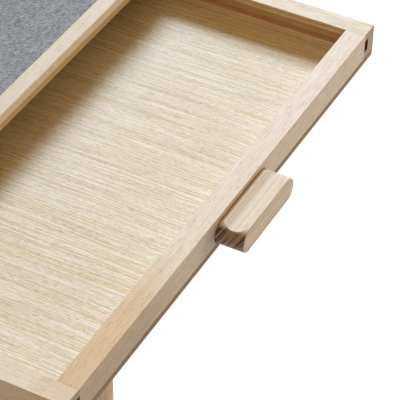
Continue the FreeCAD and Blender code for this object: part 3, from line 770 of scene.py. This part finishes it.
# One operator for each piece or group of like pieces
class PUZZLE_OT_drawer_frames(bpy.types.Operator):
    """Finish the drawers' sides and rails in rubberwood"""
    bl_idname = "puzzle_table.drawer_frames"
    bl_label = "Drawer frames"

    def execute(self, context):
        wood = context.scene.puzzle_wood
        rail = solid_wood("rubberwood_rail", "X", wood.frame_colour, RUBBERWOOD, FRAME_END)
        for drawer in DRAWERS:
            front = -1 if "front" in drawer else 1
            left_side = f"{drawer}_left_side"
            heart = heartwood_and_shade(left_side, "y", front, wood.side_heart_length, SIDE_HEART_RAGGED,
                              wood.heart_colour, SIDE_HEART)
            self.finish_side(wood, left_side, front, wood.frame_colour, [heart])
            self.finish_side(wood, f"{drawer}_right_side", -front, wood.second_colour, [])
            self.finish_front(wood, drawer, front)
            dress(rail, f"{drawer}_back_rail")
        return {"FINISHED"}

    def finish_side(self, wood, node, sign, colour, marks):
        """A side with painted shade on its inner face and in its groove, and darker painted shade in the
        groove's mouths.
        """
        # Painted shade on the inner face and in the groove, darker in its mouths
        stains = [inner_face_shade(sign, wood.inner_shade_colour), inner_face_shade(sign, wood.inner_line_shade_colour, INNER_SHADE_LINES),
                  groove_shade(node, sign, wood.groove_shade_colour), groove_shade(node, sign, wood.mouth_shade_colour, MOUTH_SHADE_DEPTH)]
        side = solid_wood(f"rubberwood_{node}", "Y", colour, RUBBERWOOD, FRAME_END, stains=stains + marks)
        dress(side, node)

    def finish_front(self, wood, drawer, front):
        """A front rail with heartwood and painted shade at one end, and painted shadow in the seam round its
        handle.
        """
        node = f"{drawer}_front_rail"
        reach = wood.heart_and_shade_length
        ragged = RAIL_HEART_AND_SHADE_RAGGED * reach
        stains = [heartwood_and_shade(node, "x", front, reach, ragged, wood.heart_colour, RAIL_HEART),
                  # painted shade: a grey that darkens the rail's face at its heartwood end
                  heartwood_and_shade(node, "x", front, reach, ragged, wood.painted_shade_colour, RAIL_PAINTED_SHADE),
                  # painted shadow in the seam round the handle
                  handle_seam_shadow(f"{drawer}_handle", front, wood.seam_shade_colour)]
        rail = solid_wood(f"rubberwood_{node}", "X", wood.frame_colour, RUBBERWOOD, FRAME_END, stains=stains)
        dress(rail, node)


class PUZZLE_OT_drawer_floors(bpy.types.Operator):
    """Finish the drawers' bottoms in streaky veneer"""
    bl_idname = "puzzle_table.drawer_floors"
    bl_label = "Drawer floors"

    def execute(self, context):
        wood = context.scene.puzzle_wood
        for drawer in DRAWERS:
            node = f"{drawer}_bottom"
            veneer = plywood(f"streaky_veneer_{drawer}", node, "Y", wood.veneer_colour, VENEER,
                             FLOOR_PLIES, wood.floor_edge_colour, FLOOR_EDGE)
            dress(veneer, node)
        return {"FINISHED"}


class PUZZLE_OT_handles(bpy.types.Operator):
    """Finish the handles in ash"""
    bl_idname = "puzzle_table.handles"
    bl_label = "Handles"

    def execute(self, context):
        ash = solid_wood("ash_handle", "X", context.scene.puzzle_wood.handle_colour, ASH, ASH_END,
                         end_streaks=ASH_RINGS, lean=RING_LEAN)
        dress(ash, *[f"{drawer}_handle" for drawer in DRAWERS])
        return {"FINISHED"}


class PUZZLE_OT_case(bpy.types.Operator):
    """Finish the boards, panels, divider and spine"""
    bl_idname = "puzzle_table.case"
    bl_label = "Case"

    def execute(self, context):
        wood = context.scene.puzzle_wood
        for node, plies in BOARD_PLIES.items():
            birch = plywood(f"birch_{node}", node, "X", wood.ply_colour, BIRCH,
                            plies, wood.board_edge_colour, BOARD_EDGE)
            dress(birch, node)
        panel = solid_wood("rubberwood_panel", "Y", wood.case_colour, RUBBERWOOD, CASE_END)
        dress(panel, "side_panel_left", "side_panel_right", "centre_divider")
        dress(solid_wood("rubberwood_spine", "X", wood.case_colour, RUBBERWOOD, CASE_END), "spine")
        return {"FINISHED"}


class PUZZLE_OT_rim(bpy.types.Operator):
    """Finish the four strips of the rim in rubberwood"""
    bl_idname = "puzzle_table.rim"
    bl_label = "Rim"

    def execute(self, context):
        colour = context.scene.puzzle_wood.rim_colour
        for axis, nodes in (("X", ("rim_front", "rim_back")), ("Y", ("rim_left", "rim_right"))):
            # painted light: near-white sides and a darker-toned top
            strip = solid_wood(f"rubberwood_rim_{axis}", axis, colour, RIM_WOOD, FRAME_END,
                               stains=[rim_top_painted_light, rim_foot_shade])
            dress(strip, *nodes)
        return {"FINISHED"}


class PUZZLE_OT_legs(bpy.types.Operator):
    """Finish the legs, their glides, plates and bolts"""
    bl_idname = "puzzle_table.legs"
    bl_label = "Legs"

    def execute(self, context):
        turned = solid_wood("rubberwood_leg", "Z", context.scene.puzzle_wood.leg_colour, TURNED, LEG_END)
        dress(turned, *[f"leg_{corner}" for corner in CORNERS])
        dress(glide_nylon(), *[f"foot_glide_{corner}" for corner in CORNERS])
        dress(zinc_steel(), "leg_plates", "hanger_bolts")
        return {"FINISHED"}


class PUZZLE_OT_felt(bpy.types.Operator):
    """Lay the felt on the top board inside the rim"""
    bl_idname = "puzzle_table.felt"
    bl_label = "Felt"

    def execute(self, context):
        low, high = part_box("felt_mat")
        piece = new_piece("felt_field", felt_mesh(low, high), "table", wool_felt())
        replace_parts(piece, "felt_mat")
        return {"FINISHED"}


class PUZZLE_OT_screws(bpy.types.Operator):
    """Put detailed screws in the handles, the base board and the leg plates"""
    bl_idname = "puzzle_table.screws"
    bl_label = "Screws"

    def execute(self, context):
        settings = context.scene.puzzle_fastenings
        tree = screw_tree()
        shank = settings.shank_radius
        shared = {"Head height": settings.head_height, "Shank radius": shank, "Material": zinc_steel(),
                  "Recess size": (settings.recess_reach, settings.recess_width, 2 * settings.recess_depth)}
        for drawer in DRAWERS:
            node = f"{drawer}_handle_screws"
            low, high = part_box(node)
            radius = (high.z - low.z) / 2
            inward = 1 if "front" in drawer else -1
            face_y = (high.y if inward > 0 else low.y) + inward * HEAD_STAND
            heads = [(x, face_y, (low.z + high.z) / 2) for x in (low.x + radius, high.x - radius)]
            self.make(f"screws_{drawer}", node, drawer, tree, heads, shared | {
                "Face radius": radius + HEAD_COVER, "Seat radius": shank,
                "Shank length": high.y - low.y - settings.head_height, "Turn": (-inward * math.pi / 2, 0, 0)})
        downward = shared | {"Turn": (math.pi, 0, 0)}
        low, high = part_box("base_screws")
        radius = HEAD_TO_SHANK * shank
        columns = [low.x + radius, (low.x + high.x) / 2, high.x - radius]
        step = (high.y - low.y - 2 * radius) / (BASE_SCREW_ROWS - 1)
        heads = [(x, low.y + radius + row * step, low.z - HEAD_STAND)
                 for x in columns for row in range(BASE_SCREW_ROWS)]
        self.make("screws_base", "base_screws", "table", tree, heads, downward | {
            "Face radius": radius + HEAD_COVER, "Seat radius": shank,
            "Shank length": high.z - low.z - settings.head_height})
        low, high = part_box("plate_screws")
        legs = [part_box(f"leg_{corner}") for corner in CORNERS]
        centres = [(leg_low + leg_high) / 2 for leg_low, leg_high in legs]
        spread = high.x - radius - max(centre.x for centre in centres)
        heads = [(centre.x + dx, centre.y + dy, low.z) for centre in centres
                 for dx in (-spread, spread) for dy in (-spread, spread)]
        self.make("screws_leg_plates", "plate_screws", "table", tree, heads, downward | {
            "Face radius": DOMED_FLAT * radius, "Seat radius": radius,
            "Shank length": high.z - low.z - settings.head_height})
        return {"FINISHED"}

    def make(self, name, node, body, tree, heads, inputs):
        """One group of screws in place of its CAD node."""
        mesh = node_mesh(name, heads, [], tree, inputs)
        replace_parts(new_piece(name, mesh, body, inputs["Material"]), node)


class PUZZLE_OT_floor_pins(bpy.types.Operator):
    """Pin the drawers' bottoms to their frames from below"""
    bl_idname = "puzzle_table.floor_pins"
    bl_label = "Floor pins"

    def execute(self, context):
        settings = context.scene.puzzle_fastenings
        tree = pin_tree()
        steel = zinc_steel()
        inset = Vector((settings.pin_inset, settings.pin_inset, 0))
        edges = [(0, 1), (1, 2), (2, 3), (3, 0)]
        for drawer in DRAWERS:
            low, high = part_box(f"{drawer}_bottom")
            low, high = low + inset, high - inset
            corners = [(low.x, low.y), (high.x, low.y), (high.x, high.y), (low.x, high.y)]
            outline = [(x, y, low.z) for x, y in corners]
            mesh = node_mesh(f"pins_{drawer}", outline, edges, tree, {
                "Radius": settings.pin_radius, "Spacing": settings.pin_spacing,
                "Height": 2 * settings.pin_stand, "Material": steel})
            new_piece(f"pins_{drawer}", mesh, drawer, steel)
        return {"FINISHED"}


class PUZZLE_OT_stage(bpy.types.Operator):
    """Set the floor, the sky, the lamps and the camera"""
    bl_idname = "puzzle_table.stage"
    bl_label = "Stage"

    def execute(self, context):
        settings = context.scene.puzzle_stage
        context.scene.view_settings.view_transform = "Standard"
        self.lay_floor(context, settings)
        self.light_sky(context, settings)
        self.hang_lamps(context, settings)
        self.set_camera(context, settings)
        return {"FINISHED"}

    def seen(self, tree):
        """1 for what the camera, a reflection or glass shows, 0 for light that falls on the object."""
        path = add(tree, "ShaderNodeLightPath").outputs
        mirrored = add(tree, "ShaderNodeMath", {0: path["Is Glossy Ray"], 1: path["Is Transmission Ray"]},
                       operation="MAXIMUM").outputs[0]
        return add(tree, "ShaderNodeMath", {0: path["Is Camera Ray"], 1: mirrored},
                   operation="MAXIMUM").outputs[0]

    def direction(self, heading, rise):
        """The way that is turned from +X towards +Y by a heading, and raised."""
        level = math.cos(rise)
        return Vector((math.cos(heading) * level, math.sin(heading) * level, math.sin(rise)))

    def lay_floor(self, context, settings):
        """A pale floor that keeps the object's shadow and looks white beyond it."""
        half = settings.floor_size / 2
        mesh = bpy.data.meshes.new("studio_floor")
        corners = [(-half, -half, 0), (half, -half, 0), (half, half, 0), (-half, half, 0)]
        mesh.from_pydata(corners, [], [(0, 1, 2, 3)])
        floor = bpy.data.objects.new("studio_floor", mesh)
        context.scene.collection.objects.link(floor)
        material = bpy.data.materials.new("studio_floor_paint")
        material.use_nodes = True
        tree = material.node_tree
        tree.nodes.clear()
        seen = self.seen(tree)
        lift = add(tree, "ShaderNodeMath", {0: seen, 1: settings.floor_lift, 2: settings.floor_glow},
                   operation="MULTIPLY_ADD").outputs[0]
        tint = lay_tones(tree, settings.key_colour, [(seen, settings.backdrop_colour)])
        glow = add(tree, "ShaderNodeEmission", {"Color": tint, "Strength": lift}).outputs[0]
        paint = add(tree, "ShaderNodeBsdfDiffuse", {"Color": settings.floor_colour}).outputs[0]
        both = add(tree, "ShaderNodeAddShader", {0: paint, 1: glow}).outputs[0]
        add(tree, "ShaderNodeOutputMaterial", {"Surface": both})
        mesh.materials.append(material)

    def light_sky(self, context, settings):
        """A warm sky, brighter behind the table than in front of it, that the camera sees as plain white."""
        world = bpy.data.worlds.new("studio")
        world.use_nodes = True
        tree = world.node_tree
        tree.nodes.clear()
        in_front, behind = [settings.sky_strength * (1 + way * settings.sky_lean) for way in (-1, 1)]
        strength = add(tree, "ShaderNodeMapRange", {
            "Value": split(tree, "Generated")["Y"], "From Min": -1.0, "To Min": in_front,
            "To Max": behind}).outputs["Result"]
        sky, white = [
            add(tree, "ShaderNodeBackground", {"Color": colour, "Strength": amount}).outputs[0]
            for colour, amount in ((settings.sky_colour, strength), (settings.backdrop_colour, 1.0))]
        mixed = add(tree, "ShaderNodeMixShader", {0: self.seen(tree), 1: sky, 2: white}).outputs[0]
        add(tree, "ShaderNodeOutputWorld", {"Surface": mixed})
        context.scene.world = world

    def hang_lamps(self, context, settings):
        """A large key lamp high on the right, and a reflector front right, both turned to the open drawer."""
        low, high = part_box(f"{OPEN_DRAWER}_bottom")
        middle = (low + high) / 2
        key = self.direction(settings.key_heading, settings.key_height) * settings.key_distance
        fill = self.direction(settings.fill_heading, 0.0) * settings.fill_distance
        fill.z = settings.fill_height - middle.z
        for name, which, offset in (("key_softbox", "key", key), ("fill_reflector", "fill", fill)):
            lamp = bpy.data.lights.new(name, "AREA")
            lamp.energy = getattr(settings, f"{which}_power")
            lamp.size = getattr(settings, f"{which}_size")
            lamp.color = getattr(settings, f"{which}_colour")[:3]
            holder = bpy.data.objects.new(name, lamp)
            holder.location = middle + offset
            holder.rotation_euler = offset.to_track_quat("Z", "Y").to_euler()
            holder.visible_camera = False
            context.scene.collection.objects.link(holder)

    def set_camera(self, context, settings):
        """The camera, at the photograph's viewing angle."""
        camera = bpy.data.cameras.new("camera")
        camera.lens = settings.lens
        camera.clip_end = 100.0
        holder = bpy.data.objects.new("camera", camera)
        ahead = self.direction(settings.camera_heading, -settings.camera_drop)
        holder.matrix_world = ahead.to_track_quat("-Z", "Y").to_matrix().to_4x4()
        holder.rotation_euler.rotate_axis("Z", settings.camera_roll)
        holder.location = settings.camera_place
        context.scene.collection.objects.link(holder)
        context.scene.camera = holder


class PUZZLE_PT_panel(bpy.types.Panel):
    """The table's settings and steps"""
    bl_idname = "PUZZLE_PT_panel"
    bl_label = "Puzzle Table"
    bl_space_type = "VIEW_3D"
    bl_region_type = "UI"
    bl_category = "Puzzle Table"

    def draw(self, context):
        for name, group in SETTINGS.items():
            box = self.layout.box()
            for key in group.__annotations__:
                box.prop(getattr(context.scene, name), key)
        for step in STEPS:
            self.layout.operator(step.bl_idname)


STEPS = [PUZZLE_OT_drawer_frames, PUZZLE_OT_drawer_floors, PUZZLE_OT_handles, PUZZLE_OT_case, PUZZLE_OT_rim,
         PUZZLE_OT_legs, PUZZLE_OT_felt, PUZZLE_OT_screws, PUZZLE_OT_floor_pins, PUZZLE_OT_stage]
CLASSES = [*SETTINGS.values(), *STEPS, PUZZLE_PT_panel]


def register():
    """Make the settings, steps and panel known."""
    for kind in CLASSES:
        bpy.utils.register_class(kind)
    for name, group in SETTINGS.items():
        setattr(bpy.types.Scene, name, bpy.props.PointerProperty(type=group))


def unregister():
    """Forget them again."""
    for name in SETTINGS:
        delattr(bpy.types.Scene, name)
    for kind in reversed(CLASSES):
        bpy.utils.unregister_class(kind)


def main():
    """Run every step in order."""
    register()
    for step in STEPS:
        group, name = step.bl_idname.split(".")
        getattr(getattr(bpy.ops, group), name)()


if __name__ == "__main__":
    main()
